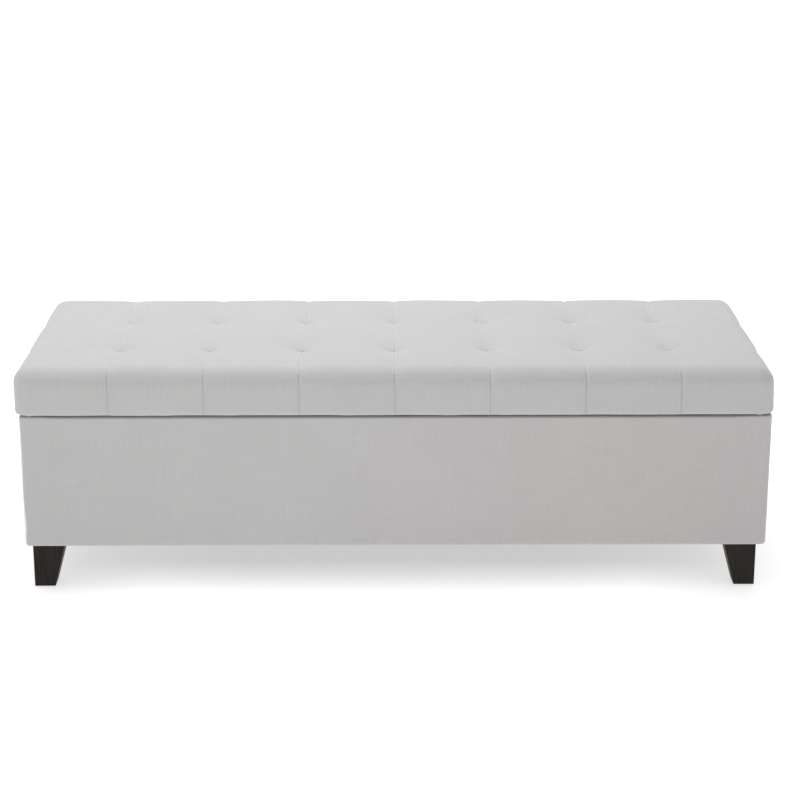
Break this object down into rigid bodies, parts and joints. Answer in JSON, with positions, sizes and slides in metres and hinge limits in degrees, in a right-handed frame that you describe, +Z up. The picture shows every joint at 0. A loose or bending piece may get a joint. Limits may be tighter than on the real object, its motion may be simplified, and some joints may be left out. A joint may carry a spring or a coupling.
{
  "type": "storage bench",
  "caption": "Long upholstered box bench on short tapered legs; its tufted padded lid hinges up at the back, held by gas struts, over a lined storage box.",
  "frame": {"origin": "on the floor, below the centre of the bench's overall outline", "axes": "+X along the bench to the right seen from the front, -Y to the front, +Z up"},
  "size_m": [1.29, 0.502, 0.398],
  "materials": {
    "light_fabric": "woven, matt",
    "black_fabric": "thin non-woven, matt",
    "lining_fabric": "smooth, matt",
    "wadding": "soft fibre, matt",
    "seat_foam": "open-cell foam, matt",
    "panel_board": "raw board, matt",
    "plywood": "raw plywood, matt",
    "softwood": "sawn softwood, matt",
    "dark_wood": "dark stain, satin lacquer",
    "zinc_steel": "zinc plated, satin",
    "black_steel": "black powder coat, satin",
    "strut_tube": "black lacquer, semi-gloss",
    "strut_rod": "polished",
    "black_plastic": "moulded, matt",
    "tie_cord": "twisted cord, matt",
    "bumper_rubber": "soft, satin"
  },
  "bodies": {
    "box": {"front_panel": "panel_board", "back_panel": "panel_board", "left_side_panel": "panel_board", "right_side_panel": "panel_board", "floor_panel": "plywood", "front_floor_cleat": "softwood", "back_floor_cleat": "softwood", "front_left_corner_block": "softwood", "front_right_corner_block": "softwood", "back_left_corner_block": "softwood", "back_right_corner_block": "softwood", "box_padding": "wadding", "box_cover": "light_fabric", "wall_lining": "lining_fabric", "floor_lining": "lining_fabric", "box_dust_cover": "black_fabric", "front_left_leg": "dark_wood", "front_right_leg": "dark_wood", "back_left_leg": "dark_wood", "back_right_leg": "dark_wood", "leg_glides": "black_plastic", "leg_hanger_bolts": "zinc_steel", "leg_tee_nuts": "zinc_steel", "panel_screws": "zinc_steel", "floor_screws": "zinc_steel", "left_hinge_box_leaf": "zinc_steel", "centre_hinge_box_leaf": "zinc_steel", "right_hinge_box_leaf": "zinc_steel", "hinge_box_screws": "zinc_steel", "hinge_pins": "zinc_steel", "left_strut_box_bracket": "black_steel", "right_strut_box_bracket": "black_steel", "strut_box_bracket_screws": "zinc_steel", "strut_box_clips": "zinc_steel", "rim_bumpers": "bumper_rubber"},
    "lid": {"lid_board": "plywood", "lid_foam": "seat_foam", "lid_cover": "light_fabric", "lid_dust_cover": "black_fabric", "tuft_ties": "tie_cord", "tuft_washers": "black_plastic", "left_hinge_lid_leaf": "zinc_steel", "centre_hinge_lid_leaf": "zinc_steel", "right_hinge_lid_leaf": "zinc_steel", "hinge_lid_screws": "zinc_steel", "left_strut_lid_bracket": "black_steel", "right_strut_lid_bracket": "black_steel", "strut_lid_bracket_screws": "zinc_steel", "strut_lid_clips": "zinc_steel"},
    "left_strut_tube": {"left_strut_tube": "strut_tube", "left_strut_gland": "black_plastic", "left_strut_tube_eye": "zinc_steel"},
    "left_strut_rod": {"left_strut_rod": "strut_rod", "left_strut_rod_eye": "zinc_steel"},
    "right_strut_tube": {"right_strut_tube": "strut_tube", "right_strut_gland": "black_plastic", "right_strut_tube_eye": "zinc_steel"},
    "right_strut_rod": {"right_strut_rod": "strut_rod", "right_strut_rod_eye": "zinc_steel"}
  },
  "joints": [
    {"name": "lid_hinge", "type": "hinge", "parent": "box", "child": "lid", "pos_m": [0, 0.2475, 0.3155], "axis": [-1, 0, 0], "range_deg": [0, 85]},
    {"name": "left_strut_tube_pivot", "type": "hinge", "parent": "lid", "child": "left_strut_tube", "pos_m": [-0.6005, 0.06881, 0.296], "axis": [1, 0, 0], "range_deg": [0, 42.5]},
    {"name": "left_strut_rod_pivot", "type": "hinge", "parent": "box", "child": "left_strut_rod", "pos_m": [-0.6005, 0.2125, 0.13919], "axis": [-1, 0, 0], "range_deg": [0, 42.5]},
    {"name": "right_strut_tube_pivot", "type": "hinge", "parent": "lid", "child": "right_strut_tube", "pos_m": [0.6005, 0.06881, 0.296], "axis": [1, 0, 0], "range_deg": [0, 42.5]},
    {"name": "right_strut_rod_pivot", "type": "hinge", "parent": "box", "child": "right_strut_rod", "pos_m": [0.6005, 0.2125, 0.13919], "axis": [-1, 0, 0], "range_deg": [0, 42.5]}
  ],
  "couplings": [
    {"joint": "left_strut_tube_pivot", "follows": "lid_hinge", "ratio": 0.5},
    {"joint": "left_strut_rod_pivot", "follows": "lid_hinge", "ratio": 0.5},
    {"joint": "right_strut_tube_pivot", "follows": "lid_hinge", "ratio": 0.5},
    {"joint": "right_strut_rod_pivot", "follows": "lid_hinge", "ratio": 0.5}
  ]
}
